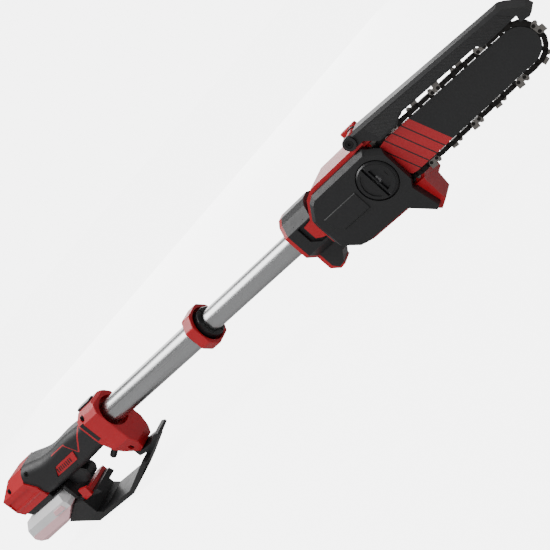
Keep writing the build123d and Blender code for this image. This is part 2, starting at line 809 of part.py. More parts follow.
with BuildPart() as motor_bearings:
    for y in (flange_far + bearing_width, far_wall - joint_gap):
        with BuildSketch(side_plane(y)):
            with Locations((sprocket_x, 0)):
                Circle(bearing_diameter / 2)
                Circle(shaft_diameter / 2 + joint_gap, mode=Mode.SUBTRACT)
        extrude(amount=bearing_width)
save(motor_bearings.part, "motor_bearings")

# ================================================================ chain guard and oil cap
guard_near = -bar_side - guard_width / 2
guard_tip = bar_tip + guard_overhang
guard_side = [
    (guard_hinge_x, guard_hinge_height + lug_radius),
    (guard_hinge_x + 5, guard_top_rear),
    (guard_tip - 19, guard_top_front),
    (guard_tip - 2, guard_top_front - 14),
    (guard_tip, half_bar - 3),
    (guard_tip - 4, half_bar - 5),
    (guard_tip - 12, half_bar - 3),
    (guard_tip - 11, half_bar + 2.5),
    (guard_tip - 46, half_bar + 2.5),
    (guard_tip - 49, half_bar + 6.5),
    (housing_end + 31, half_bar + 9.5),
    (housing_end + 22, half_bar + 4),
    (housing_end + 0.5, half_bar + 4),
    (guard_hinge_x + 10, guard_hinge_height - lug_radius),
    (guard_hinge_x, guard_hinge_height - lug_radius),
]
with BuildPart() as chain_guard:
    with BuildSketch(side_plane(guard_near + guard_width)):
        outline(*guard_side)
    extrude(amount=guard_width)
    top_edges = chain_guard.edges().filter_by(
        lambda e: e.center().Z > guard_top_front and abs(e.tangent_at(0).Y) < 0.1
        and e.length > bar_reach / 2
    )
    chamfer(top_edges, 3.0)
    with BuildSketch(side_plane(guard_near + guard_width)):
        with Locations((guard_hinge_x, guard_hinge_height)):
            Circle(lug_radius)
    extrude(amount=guard_width + 2.5)
    # channel over the chain, open below and behind
    with BuildSketch(side_plane(guard_near + guard_width - guard_wall)):
        outline(
            (guard_hinge_x + lug_radius + 2, guard_top_rear - guard_wall - 1.0),
            (guard_tip - 20, guard_top_front - guard_wall),
            (guard_tip - 2 - guard_wall, guard_top_front - 15),
            (guard_tip - guard_wall, 0),
            (guard_hinge_x - lug_radius - 2, 0),
            (guard_hinge_x - lug_radius - 2, guard_top_rear + 9),
            (guard_hinge_x + lug_radius + 2, guard_top_rear + 9),
        )
    extrude(amount=guard_width - 2 * guard_wall, mode=Mode.SUBTRACT)
    with BuildSketch(side_plane(0)):
        with Locations((guard_hinge_x, guard_hinge_height)):
            Circle(hinge_screw_diameter / 2 + joint_gap)
    extrude(amount=60, mode=Mode.SUBTRACT)
    with BuildSketch(side_plane(guard_near - 1.0)):
        with Locations((guard_hinge_x, guard_hinge_height)):
            Circle(screw_head_diameter / 2 + fit)
    extrude(amount=3, mode=Mode.SUBTRACT)
save(chain_guard.part, "chain_guard")

with BuildPart() as guard_screw:
    with BuildSketch(side_plane(guard_near + guard_width + 1.0)):
        with Locations((guard_hinge_x, guard_hinge_height)):
            Circle(hinge_screw_diameter / 2)
    extrude(amount=guard_width + 2.0)
    with BuildSketch(side_plane(guard_near - 1.0 - fit)):
        with Locations((guard_hinge_x, guard_hinge_height)):
            Circle(screw_head_diameter / 2)
    extrude(amount=1.0)
    with BuildSketch(side_plane(guard_near - 1.2)):
        with Locations((guard_hinge_x, guard_hinge_height)):
            RegularPolygon(1.6, 6)
    extrude(amount=3, mode=Mode.SUBTRACT)
save(guard_screw.part, "guard_screw")

cap_seat = housing_top + 1.5
with BuildPart() as oil_cap:
    with BuildSketch(Plane.XY.offset(cap_seat + fit)):
        with Locations((cap_x, cap_y)):
            Circle(cap_diameter / 2)
    extrude(amount=5.0)
    chamfer(oil_cap.faces().sort_by(Axis.Z)[-1].edges(), 1.0)
    with BuildSketch(Plane.XY.offset(cap_seat + 5.0)):
        with Locations((cap_x, cap_y)):
            SlotOverall(cap_diameter - 1.0, 6.0)
    extrude(amount=4.6)
    fillet(oil_cap.faces().sort_by(Axis.Z)[-1].edges(), 1.2)
    with BuildSketch(Plane.XY.offset(cap_seat - 7)):
        with Locations((cap_x, cap_y)):
            Circle(filler_diameter / 2 - fit)
    extrude(amount=7 + 2 * fit)
save(oil_cap.part, "oil_cap")

with BuildPart() as oil_tank:
    with BuildSketch(side_plane(far_wall - 2.0)):
        outline(
            (cap_x - 8, housing_top - 12.5),
            (housing_end - shell_wall - 9.5, housing_top - 12.5),
            (housing_end - shell_wall - 9.5, -housing_bottom + 22),
            (stud_x + 3, -housing_bottom + 22),
            (stud_x + 3, 12),
            (cap_x - 8, 21),
        )
    extrude(amount=far_wall - 2.0 - cap_y + 6.5)
save(oil_tank.part, "oil_tank")

# ================================================================ handle: front housing
# Long screws that join the right and left halves: place, near face and far end.
screw_places = [
    (grip_front + 11, 20.5, -16.5, 12.0),
    (handle_front - 14, -44, -13.0, 10.0),
    (grip_rear + 4, 19, -21.5, 19.0),
    (rear_end + 22, 17, -22.0, 19.0),
]
screw_head_height = 2.5


def screw_bores():
    """Drill every screw's hole and the seat of its head into the shell being made."""
    for x, z, near, far in screw_places:
        with BuildSketch(side_plane(far)) as shank_hole:
            with Locations((x, z)):
                Circle(screw_shank_diameter / 2 + joint_gap)
        extrude(shank_hole.sketch, amount=far - near, mode=Mode.SUBTRACT)
        with BuildSketch(side_plane(near + screw_head_height)) as head_seat:
            with Locations((x, z)):
                Circle(screw_head_diameter / 2 + joint_gap)
        extrude(head_seat.sketch, amount=20, mode=Mode.SUBTRACT)


with BuildPart() as handle_screws:
    for x, z, near, far in screw_places:
        with BuildSketch(side_plane(far)):
            with Locations((x, z)):
                Circle(screw_shank_diameter / 2)
        extrude(amount=far - near - 0.5)
        with BuildSketch(side_plane(near + screw_head_height)):
            with Locations((x, z)):
                Circle(screw_head_diameter / 2)
        extrude(amount=screw_head_height)
        with BuildSketch(side_plane(near + 1.5)):
            with Locations((x, z)):
                RegularPolygon(1.8, 6)
        extrude(amount=3, mode=Mode.SUBTRACT)
save(handle_screws.part, "handle_screws")

half_front = front_housing_width / 2
socket_gap = lower_tube_diameter / 2 + 4.5
front_side = [
    (grip_front, front_housing_top - 6),
    (grip_front + 6, front_housing_top),
    (handle_front - 4, front_housing_top),
    (handle_front, front_housing_top - 4),
    (handle_front, -chin_bottom + 12),
    (handle_front - 5, -chin_bottom + 2),
    (handle_front - 14, -chin_bottom),
    (handle_front - 27, -chin_bottom + 14),
    (handle_front - 32, -chin_bottom + 26),
    (grip_front + 1, -16),
    (grip_front, -8),
]
front_cross = mirrored([
    (half_front - 9, -chin_bottom),
    (half_front - 3, -chin_bottom + 16),
    (half_front, -chin_bottom + 24),
    (half_front, 15),
    (half_front - 5, 22),
    (half_front - 11, front_housing_top),
])
button_x = handle_front - 22.0
button_length = 30.0
button_width = 12.0
button_travel = 1.5
lever_x = handle_front - 38.0
lever_z = -29.0
lever_width = 14.0
with BuildPart() as front_housing:
    add(faceted(front_side, front_cross))
    fillet(front_housing.faces().sort_by(Axis.X)[-1].edges(), 1.5)
    # mouth round the tube and the seat that grips it
    with BuildSketch(cross_plane(handle_front - 10)):
        Circle(socket_gap)
    extrude(amount=20, mode=Mode.SUBTRACT)
    with BuildSketch(cross_plane(grip_front - 5)):
        tube_section(lower_tube_diameter + 2 * joint_gap, lower_tube_flats + 2 * joint_gap)
    extrude(amount=front_housing_length, mode=Mode.SUBTRACT)
    # pocket for the push button
    with BuildSketch(Plane.XY.offset(lower_tube_diameter / 2 + 3.5)):
        with Locations((button_x, 0)):
            SlotOverall(button_length + 2 * fit, button_width + 2 * fit)
    extrude(amount=30, mode=Mode.SUBTRACT)
    # slot for the release lever
    with BuildSketch(side_plane((lever_width + 2 * fit) / 2)):
        with Locations((lever_x, lever_z)):
            Rectangle(26, 26)
    extrude(amount=lever_width + 2 * fit, mode=Mode.SUBTRACT)
    # hollow chin
    with BuildSketch(side_plane(half_front - 12)):
        outline(
            (handle_front - shell_wall, -lower_tube_diameter / 2 - 6),
            (handle_front - shell_wall, -chin_bottom + 13),
            (handle_front - 8, -chin_bottom + 5),
            (handle_front - 14, -chin_bottom + 4),
            (handle_front - 22, -chin_bottom + 12),
            (handle_front - 22, -lower_tube_diameter / 2 - 6),
        )
    extrude(amount=front_housing_width - 24, mode=Mode.SUBTRACT)
    screw_bores()
for side, keep in (("right", Keep.TOP), ("left", Keep.BOTTOM)):
    with BuildPart() as half:
        add(front_housing.part)
        split(bisect_by=Plane.XZ, keep=keep)
    save(half.part, f"front_housing_{side}")

with BuildPart() as power_button:
    with BuildSketch(Plane.XY.offset(front_housing_top - 1.5)):
        with Locations((button_x, 0)):
            SlotOverall(button_length, button_width)
    extrude(amount=4.0)
    fillet(power_button.faces().sort_by(Axis.Z)[-1].edges(), 1.2)
save(power_button.part, "power_button")

# the switch stands ahead of the housing's top screw
switch_length = 6.0
with BuildPart() as button_switch:
    with BuildSketch(Plane.XY.offset(lower_tube_diameter / 2 + 3.5)):
        with Locations((button_x + 1.5, 0)):
            Rectangle(switch_length, 8)
    extrude(amount=front_housing_top - 1.5 - button_travel - fit - lower_tube_diameter / 2 - 3.5)
save(button_switch.part, "button_switch")

# Release lever of the pole: a block hinged in the chin, with a finger peg behind it.
lever_pin_radius = 2.0
with BuildPart() as release_lever:
    with BuildSketch(side_plane(lever_width / 2)):
        outline(
            (lever_x - 9, lever_z + 3),
            (lever_x - 1, lever_z + 4),
            (lever_x + 1.5, lever_z + 9),
            (lever_x + 6, lever_z + 8),
            (lever_x + 8, lever_z - 3),
            (lever_x + 5, lever_z - 9),
            (lever_x - 8, lever_z - 10),
            (lever_x - 10, lever_z - 3),
        )
    extrude(amount=lever_width)
    chamfer(release_lever.faces().sort_by(Axis.Y)[0].edges(), 1.0)
    peg_plane = Plane(origin=(lever_x - 7, 0, lever_z - 5), z_dir=(-1, 0, -0.42))
    with BuildSketch(peg_plane):
        Circle(4.4)
    extrude(amount=20)
    fillet(release_lever.faces().sort_by(Axis.X)[0].edges(), 1.5)
    with BuildSketch(side_plane(lever_width)):
        with Locations((lever_x + 3, lever_z)):
            Circle(lever_pin_radius + joint_gap)
    extrude(amount=2 * lever_width, mode=Mode.SUBTRACT)
save(release_lever.part, "release_lever")

with BuildPart() as lever_pin:
    with BuildSketch(side_plane(lever_width / 2 + fit)):
        with Locations((lever_x + 3, lever_z)):
            Circle(lever_pin_radius)
    extrude(amount=lever_width + 2 * fit)
save(lever_pin.part, "lever_pin")

# ================================================================ handle: grip
half_grip = grip_width / 2
chevron = [
    (grip_rear - 2, swell_top + 20),
    (grip_rear - 2, swell_top),
    (grip_rear - 10, 13),
    (grip_rear, -3),
    (grip_rear, -grip_bottom - 20),
]
grip_stations = [
    (grip_front, half_grip, grip_top + 1.5, -grip_bottom + 2),
    (grip_front - 22, half_grip - 0.5, grip_top, -grip_bottom + 1),
    (grip_front - 70, half_grip, grip_top, -grip_bottom),
    (grip_front - 100, half_grip + 2, grip_top + 2, -grip_bottom),
    (grip_front - 122, half_grip + 3.5, swell_top - 1.5, -grip_bottom),
    (grip_rear - 14, half_grip + 4.5, swell_top - 1, -grip_bottom + 4),
]


def grip_body(inset):
    """Loft through the grip's stations, cut to the chevron where the rear housing begins."""
    with BuildPart() as body:
        for x, half, top, bottom in grip_stations:
            with BuildSketch(cross_plane(x)):
                with Locations((0, (top + bottom) / 2)):
                    RectangleRounded(2 * (half - inset), top - bottom - 2 * inset, half * 0.6 - inset)
        loft()
        with BuildSketch(side_plane(50)):
            outline(*chevron, (grip_front + 1, -60), (grip_front + 1, 60))
        extrude(amount=100, mode=Mode.INTERSECT)
    return body.part


trigger_width = 18.0
trigger_front = grip_rear + 65.0
trigger_rear = grip_rear + 30.0
trigger_top = -grip_bottom + 4
trigger_low = -46.0
trigger_pivot = (trigger_rear + 5, -grip_bottom + 9)
trigger_pin_radius = 1.5
rail_rear = rear_end + 4.0
post_front = grip_rear + 43.0
post_rear = grip_rear + 26.0
with BuildPart() as grip:
    add(grip_body(0))
    add(grip_body(grip_wall), mode=Mode.SUBTRACT)
    # front bulkhead round the tube's end
    with BuildSketch(cross_plane(grip_front - 3)):
        with Locations((0, (grip_top - grip_bottom) / 2 + 1)):
            RectangleRounded(grip_width - 5, grip_top + grip_bottom - 4, 8)
        tube_section(lower_tube_diameter + 2 * joint_gap, lower_tube_flats + 2 * joint_gap)
    extrude(amount=0.5)
    # slot that the trigger rises into
    with BuildSketch(Plane.XY.offset(-grip_bottom - 5)):
        with Locations(((trigger_front + trigger_rear) / 2 + 1, 0)):
            Rectangle(trigger_front - trigger_rear + 6, trigger_width + 2 * fit)
    extrude(amount=12, mode=Mode.SUBTRACT)
    # shallow bed for the ribbed inset on each side
    for y in (-half_grip - 3, half_grip - 1.0):
        with BuildSketch(side_plane(y + 4.0)):
            outline(
                (grip_front - 42, 0.5),
                (grip_front - 84, 0.5),
                (grip_front - 95, -11),
                (grip_front - 48, -11),
            )
        extrude(amount=4.0, mode=Mode.SUBTRACT)
    screw_bores()
for side, keep in (("right", Keep.TOP), ("left", Keep.BOTTOM)):
    with BuildPart() as half:
        add(grip.part)
        split(bisect_by=Plane.XZ, keep=keep)
    save(half.part, f"grip_{side}")
for side, y in (("right", -half_grip + 1.0 - joint_gap), ("left", half_grip + 0.2)):
    with BuildPart() as inset_panel:
        with BuildSketch(side_plane(y)):
            outline(
                (grip_front - 42.2, 0.3),
                (grip_front - 83.8, 0.3),
                (grip_front - 94.5, -10.8),
                (grip_front - 48.2, -10.8),
            )
        extrude(amount=1.15 - joint_gap)
    save(inset_panel.part, f"grip_inset_{side}")

# Trigger: a rounded block on a pin inside the grip, pushed out by a spring.
with BuildPart() as trigger:
    with BuildSketch(side_plane(trigger_width / 2)):
        outline(
            (trigger_rear, trigger_top + 7),
            (trigger_rear + 9, trigger_top + 9),
            (trigger_front - 8, trigger_top + 2),
            (trigger_front - 4, -grip_bottom - 1),
            (trigger_front, -grip_bottom - 7),
            (trigger_front - 0.5, -grip_bottom - 13),
            (trigger_front - 7, trigger_low + 2),
            (trigger_rear + 18, trigger_low + 3),
            (trigger_rear + 3, -grip_bottom - 13),
            (trigger_rear, -grip_bottom - 6),
        )
        fillet(vertices().sort_by(Axis.X)[-5:], 3.0)
    extrude(amount=trigger_width)
    fillet(trigger.faces().filter_by(Axis.Y).edges(), 1.2)
    with BuildSketch(side_plane(trigger_width)):
        with Locations(trigger_pivot):
            Circle(trigger_pin_radius + joint_gap)
    extrude(amount=2 * trigger_width, mode=Mode.SUBTRACT)
save(trigger.part, "trigger")

with BuildPart() as trigger_pin:
    with BuildSketch(side_plane(half_grip - grip_wall)):
        with Locations(trigger_pivot):
            Circle(trigger_pin_radius)
    extrude(amount=2 * (half_grip - grip_wall))
save(trigger_pin.part, "trigger_pin")

switch_bottom = trigger_top + 13.0
with BuildPart() as trigger_switch:
    with BuildSketch(Plane.XY.offset(switch_bottom)):
        with Locations(((trigger_front + trigger_rear) / 2 + 2, 0)):
            Rectangle(28, 16)
    extrude(amount=14)
save(trigger_switch.part, "trigger_switch")

with BuildPart() as control_board:
    with BuildSketch(Plane.XY.offset(grip_top - grip_wall - 7.0)):
        with Locations((grip_front - 45, 0)):
            Rectangle(44, 22)
    extrude(amount=1.6)
    for dx, dz, part_size in ((-14, 4, 5), (0, 3, 6), (12, 4.5, 5)):
        with BuildSketch(Plane.XY.offset(grip_top - grip_wall - 7.0)):
            with Locations((grip_front - 45 + dx, 0)):
                Rectangle(part_size, 9)
        extrude(amount=-dz)
save(control_board.part, "control_board")

# ================================================================ handle: rear housing and rail
half_rear = rear_housing_width / 2
rear_side = [
    (rear_end, 13),
    (rear_end + 29, swell_top),
    (grip_rear - 2, swell_top),
    (grip_rear - 10, 13),
    (grip_rear, -3),
    (grip_rear, -rear_housing_bottom),
    (rear_end + 6, -rear_housing_bottom),
    (rear_end, -rear_housing_bottom + 8),
]
rear_cross = mirrored([
    (half_rear - 1, -rear_housing_bottom - 1),
    (half_rear - 1, -rear_housing_bottom + 8),
    (half_rear, -rear_housing_bottom + 10),
    (half_rear, 13),
    (half_rear - 9, swell_top),
])
with BuildPart() as rear_housing:
    add(faceted(rear_side, rear_cross))
    add(faceted(rear_side, rear_cross, shell_wall), mode=Mode.SUBTRACT)
    for y in (-half_rear, half_rear - 1.2):
        with BuildSketch(side_plane(y + 1.2)):
            outline(
                (rear_end + 3, 5.5),
                (grip_rear - 12, 5.5),
                (grip_rear - 5, -7),
                (rear_end + 1, -7),
            )
        extrude(amount=1.2, mode=Mode.SUBTRACT)
    screw_bores()
for side, keep in (("right", Keep.TOP), ("left", Keep.BOTTOM)):
    with BuildPart() as half:
        add(rear_housing.part)
        split(bisect_by=Plane.XZ, keep=keep)
    save(half.part, f"rear_housing_{side}")

rail_top = -rear_housing_bottom - joint_gap
rail_bottom = -rear_housing_bottom - rail_height
rail_width = 2 * (half_rear - 4)
rail_slot = 20.0
with BuildPart() as battery_rail:
    with BuildSketch(side_plane(rail_width / 2)):
        outline(
            (rail_rear + 2, rail_top),
            (grip_rear - joint_gap, rail_top),
            (grip_rear - joint_gap, -grip_bottom - 1.2),
            (post_rear - 4 - fit, -grip_bottom - 1.2),
            (post_rear - 4 - fit, rail_bottom),
            (rail_rear + 9, rail_bottom),
        )
    extrude(amount=rail_width)
    with BuildSketch(Plane.XY.offset(rail_bottom)):
        with Locations(((rail_rear + post_rear) / 2 - 10, 0)):
            Rectangle(post_rear - rail_rear - 4, rail_slot)
    extrude(amount=3.5, mode=Mode.SUBTRACT)
save(battery_rail.part, "battery_rail")

with BuildPart() as rail_terminals:
    with BuildSketch(Plane.XY.offset(rail_bottom + 3.5 - joint_gap)):
        with Locations((grip_rear - 14, 0)):
            with GridLocations(0, 5, 1, 4):
                Rectangle(16, 1.0)
    extrude(amount=-3.0)
save(rail_terminals.part, "rail_terminals")

# ================================================================ handle: hand guard
half_band = guard_band_width / 2
lock_length = 14.0
lock_height = 7.0
lock_head = 4.5
lock_x = trigger_rear + 15
lock_z = -52.0
band_outer = [
    (rear_end + 54, -62.5),
    (grip_rear + 27, -guard_band_bottom),
    (grip_rear + 106, -guard_band_bottom),
    (handle_front - 38, -79),
    (handle_front - 6, -67),
]
band_inner = [
    (handle_front - 9, -62),
    (handle_front - 40, -73),
    (grip_rear + 104, -guard_band_bottom + guard_band_thickness),
    (grip_rear + 44, -guard_band_bottom + guard_band_thickness),
    (grip_rear + 36, -guard_band_bottom + 12),
    (post_front - 6, -53),
    (post_rear - 4, -49),
]
with BuildPart() as hand_guard:
    with BuildSketch(side_plane(half_band)):
        outline(*band_outer, *band_inner)
        fillet(vertices().group_by(Axis.Y)[0], 4.0)
    extrude(amount=guard_band_width)
    # hollow foot behind the fingers
    with BuildSketch(side_plane(half_band - 3)):
        outline(
            (grip_rear + 5, -62),
            (grip_rear + 27, -guard_band_bottom + 5),
            (grip_rear + 34, -guard_band_bottom + 8),
            (post_front - 10, -56),
            (post_rear - 4, -51),
        )
    extrude(amount=guard_band_width - 6, mode=Mode.SUBTRACT)
    # post up to the grip
    with BuildSketch(side_plane(half_grip)):
        outline(
            (post_rear - 4, -50),
            (post_front - 6, -56),
            (trigger_front - 2, -62),
            (trigger_front - 4, -55),
            (trigger_rear + 20, -53),
            (post_rear + 2, -48),
            (post_rear + 2, -grip_bottom - 1.2),
            (post_rear - 4, -grip_bottom - 1.2),
        )
    extrude(amount=grip_width)
    # passage for the lock-off slider
    with BuildSketch(side_plane(half_grip + 5)):
        with Locations((lock_x, lock_z)):
            Rectangle(lock_length + 2 * fit, lock_height + 2 * fit)
    extrude(amount=grip_width + 10, mode=Mode.SUBTRACT)
save(hand_guard.part, "hand_guard")

with BuildPart() as lock_off_slider:
    with BuildSketch(side_plane(half_grip + lock_head)):
        with Locations((lock_x, lock_z)):
            Rectangle(lock_length, lock_height)
    extrude(amount=grip_width + 2 * lock_head)
    with BuildSketch(side_plane(-half_grip - fit)):
        with Locations((lock_x + 2, lock_z + 4.5)):
            Rectangle(lock_length, 12, rotation=-12)
    extrude(amount=lock_head - fit)
save(lock_off_slider.part, "lock_off_slider")

# Strap hook: a plate that carries the guard's front edge forwards, with a crossbar at its end.
strap_width = 26.0
strap_thickness = 5.0
with BuildPart() as strap_hook:
    with BuildSketch(side_plane(strap_width / 2)):
        outline(
            (handle_front - 5.4, -67.2),
            (handle_front - 8.4, -61.8),
            (handle_front - 20, -chin_bottom - 4),
            (handle_front - 20, -chin_bottom + 6 - 0.2),
            (handle_front - 14, -chin_bottom - joint_gap),
            (handle_front - 5, -chin_bottom - 0.2),
            (handle_front + 8, -57),
            (handle_front + 22, -51),
            (handle_front + 27, -53),
            (handle_front + 27, -56),
        )
    extrude(amount=strap_width)
    with BuildSketch(Plane.XY.offset(-80)):
        with Locations((handle_front + 12, 0)):
            SlotOverall(14, 8, rotation=90)
    extrude(amount=40, mode=Mode.SUBTRACT)
save(strap_hook.part, "strap_hook")

# ================================================================ battery
battery_front = grip_rear + 21.0
battery_rear = battery_front - battery_length
pack_top = rail_bottom - battery_top_gap
half_pack = battery_width / 2
battery_side = [
    (battery_rear + 9, pack_top),
    (battery_front - 8, pack_top),
    (battery_front - 1, pack_top - 13),
    (battery_front - 1, -46.5),
    (battery_front - 30, -battery_bottom + 2.0),
    (battery_rear + 10, -battery_bottom),
    (battery_rear, -50),
    (battery_rear + 3, -40),
]
battery_cross = mirrored([
    (half_pack - 5, -battery_bottom - 1),
    (half_pack - 5, -battery_bottom),
    (half_pack, -battery_bottom + 6),
    (half_pack, pack_top - 8),
    (half_pack - 7, pack_top),
])
battery_wall = 2.0
for name, keep in (("battery_top", Keep.TOP), ("battery_base", Keep.BOTTOM)):
    with BuildPart() as shell:
        add(faceted(battery_side, battery_cross))
        add(faceted(battery_side, battery_cross, battery_wall), mode=Mode.SUBTRACT)
        split(bisect_by=Plane.XY.offset(-battery_split), keep=keep)
    save(shell.part, name)

with BuildPart() as battery_cells:
    with BuildSketch(side_plane(cell_length / 2)):
        with Locations(((battery_front + battery_rear) / 2 - 3, (pack_top - battery_bottom) / 2 + 1)):
            with GridLocations(cell_diameter + 0.2, 0, 4, 1):
                Circle(cell_diameter / 2)
    extrude(amount=cell_length)
save(battery_cells.part, "battery_cells")

with BuildPart() as battery_release:
    with BuildSketch(side_plane(-half_pack - joint_gap)):
        outline(
            (battery_front - 30, -38),
            (battery_front - 12, -38),
            (battery_front - 10, -44),
            (battery_front - 33, -44),
        )
    extrude(amount=1.5)
save(battery_release.part, "battery_release")
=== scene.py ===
# %% [markdown]
# # A telescoping pole saw
# The CAD model is the frame: every piece of it stays where it is, and this script gives the pieces
# their finishes, adds the thin trims that are moulded or printed on them, and sets up the studio.
# Everything is in metres. X runs along the pole to the bar's tip, Z is up, -Y is the knob's side.

# %% Load the frame
import math
import bmesh
import bpy
import numpy as np
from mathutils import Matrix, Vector


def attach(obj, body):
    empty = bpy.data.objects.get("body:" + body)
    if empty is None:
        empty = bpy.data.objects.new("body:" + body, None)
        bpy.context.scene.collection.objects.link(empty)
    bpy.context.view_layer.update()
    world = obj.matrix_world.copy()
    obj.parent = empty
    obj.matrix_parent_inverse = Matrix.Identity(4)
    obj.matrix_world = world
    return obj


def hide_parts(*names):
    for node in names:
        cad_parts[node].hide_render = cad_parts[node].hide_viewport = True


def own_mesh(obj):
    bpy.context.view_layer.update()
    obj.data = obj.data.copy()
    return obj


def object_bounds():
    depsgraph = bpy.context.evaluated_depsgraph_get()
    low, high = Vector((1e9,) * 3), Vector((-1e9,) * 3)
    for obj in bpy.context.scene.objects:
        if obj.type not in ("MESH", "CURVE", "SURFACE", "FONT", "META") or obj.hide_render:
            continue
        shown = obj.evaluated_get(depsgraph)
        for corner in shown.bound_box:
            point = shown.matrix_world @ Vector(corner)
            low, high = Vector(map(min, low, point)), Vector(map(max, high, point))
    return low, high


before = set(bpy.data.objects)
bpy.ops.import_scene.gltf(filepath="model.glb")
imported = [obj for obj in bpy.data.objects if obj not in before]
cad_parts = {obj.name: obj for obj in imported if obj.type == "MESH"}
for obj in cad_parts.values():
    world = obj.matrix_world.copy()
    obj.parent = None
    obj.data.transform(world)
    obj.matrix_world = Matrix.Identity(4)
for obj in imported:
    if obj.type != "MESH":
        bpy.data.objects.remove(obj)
cad_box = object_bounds()

# %% [markdown]
# ## Camera
# The saw is seen from the knob's side and from ahead of the bar, close enough for strong perspective,
# with the camera rolled so that the saw runs from corner to corner. A camera is placed by its position
# and its turns about X, Y and Z. A 65 mm lens on a 36 mm sensor sees an angle of about 31 degrees.

# %% Camera
camera_place = Vector((0.82202, -0.80857, 0.17595))
camera_turns = [math.radians(a) for a in (73.8137, 48.3609, 22.7754)]
camera_data = bpy.data.cameras.new("studio_camera")
camera_data.lens = 65.45
camera_data.sensor_width = 36.0
camera_data.clip_start = 0.02
camera = bpy.data.objects.new("studio_camera", camera_data)
camera.location = camera_place
camera.rotation_euler = camera_turns
bpy.context.scene.collection.objects.link(camera)
bpy.context.scene.camera = camera
print("camera at", tuple(round(v, 3) for v in camera_place))

# %% [markdown]
# ## Studio
# A white floor lies just under the hand guard, in a white room. Both look brighter to the camera than
# the light they cast, so the background is clean and the saw keeps its dark sides. Three large soft
# lights do the modelling: one overhead for the long highlight on the tubes, a weaker one from the
# viewer's side, and the largest one behind, which draws the upper edges. Large lights are used because
# small ones leave hard spots on moulded plastic.

# %% Studio
floor_gap = 0.004       # from the floor up to the saw's lowest point
floor_reach = 12.0
floor_grey = 0.4
floor_rough = 0.9
floor_glow_seen = 5.5   # only the camera sees this glow, and it lights nothing
low = cad_box[0][2] - floor_gap
corners = np.array([(-1, -1), (1, -1), (1, 1), (-1, 1)], float) * floor_reach
floor_mesh = bpy.data.meshes.new("floor")
floor_mesh.from_pydata([(x, y, low) for x, y in corners.tolist()], [], [(0, 1, 2, 3)])
floor_paint = bpy.data.materials.new("floor_paint")
floor_paint.use_nodes = True
floor_tree = floor_paint.node_tree
floor_shader = floor_tree.nodes["Principled BSDF"]
floor_shader.inputs["Base Color"].default_value = (floor_grey, floor_grey, floor_grey, 1.0)
floor_shader.inputs["Roughness"].default_value = floor_rough
floor_shader.inputs["Emission Color"].default_value = (1.0, 1.0, 1.0, 1.0)
floor_seen = floor_tree.nodes.new("ShaderNodeLightPath")
floor_glow = floor_tree.nodes.new("ShaderNodeMath")
floor_glow.operation = "MULTIPLY"
floor_glow.inputs[1].default_value = floor_glow_seen
floor_tree.links.new(floor_seen.outputs["Is Camera Ray"], floor_glow.inputs[0])
floor_tree.links.new(floor_glow.outputs[0], floor_shader.inputs["Emission Strength"])
floor_mesh.materials.append(floor_paint)
floor = bpy.data.objects.new("floor", floor_mesh)
bpy.context.scene.collection.objects.link(floor)

world = bpy.data.worlds.new("studio")
bpy.context.scene.world = world
world.use_nodes = True
room_light = 0.30       # what the room casts on the saw
room_seen = 5.8         # how bright the room looks to the camera
world_tree = world.node_tree
world_shader = world_tree.nodes["Background"]
world_seen = world_tree.nodes.new("ShaderNodeLightPath")
world_level = world_tree.nodes.new("ShaderNodeMapRange")
world_level.inputs["To Min"].default_value = room_light
world_level.inputs["To Max"].default_value = room_seen
world_shader.inputs["Color"].default_value = (1.0, 1.0, 1.0, 1.0)
world_tree.links.new(world_seen.outputs["Is Camera Ray"], world_level.inputs["Value"])
world_tree.links.new(world_level.outputs["Result"], world_shader.inputs["Strength"])

saw_middle = Vector((0.17, 0.0, 0.0))
for name, place, size, power in (
    ("overhead", (-0.62, -0.30, 1.15), 0.9, 20.0),
    ("viewer_side", (0.55, -1.30, 0.60), 0.9, 8.0),
    ("behind", (-0.75, 1.45, 0.45), 1.5, 26.0),
):
    lamp = bpy.data.lights.new(name, "AREA")
    lamp.size = size
    lamp.energy = power
    lamp_object = bpy.data.objects.new(name, lamp)
    lamp_object.location = place
    aim = saw_middle - Vector(place)
    lamp_object.rotation_euler = aim.to_track_quat("-Z", "Y").to_euler()
    bpy.context.scene.collection.objects.link(lamp_object)
print("floor at", round(low, 4), "with three soft lights")

# %% [markdown]
# ## A finish in words
# Most of the saw is moulded plastic. Such a surface has a fine spark-eroded texture, a slow drift in
# shade, and dull and shiny patches where hands rub it. It could be painted on, but noise at three sizes
# in the object's own space needs no unwrapping and holds on any shape. Metals use the same recipe with
# the noise drawn out along the way they were rolled or drawn.

# %% A finish from noise at three sizes
drift_scale = 28.0      # slow changes of shade, a few to a hand's width
patch_scale = 190.0     # dull and shiny patches
bump_strength = 0.6


def add_node(tree, kind, **sockets):
    """A new node in the tree, with constant values put on its named sockets."""
    node = tree.nodes.new(kind)
    for socket, value in sockets.items():
        node.inputs[socket].default_value = value
    return node


def tinted(colour, factor):
    """The colour made lighter or darker by the factor, with full opacity."""
    return tuple(min(1.0, c * factor) for c in colour[:3]) + (1.0,)


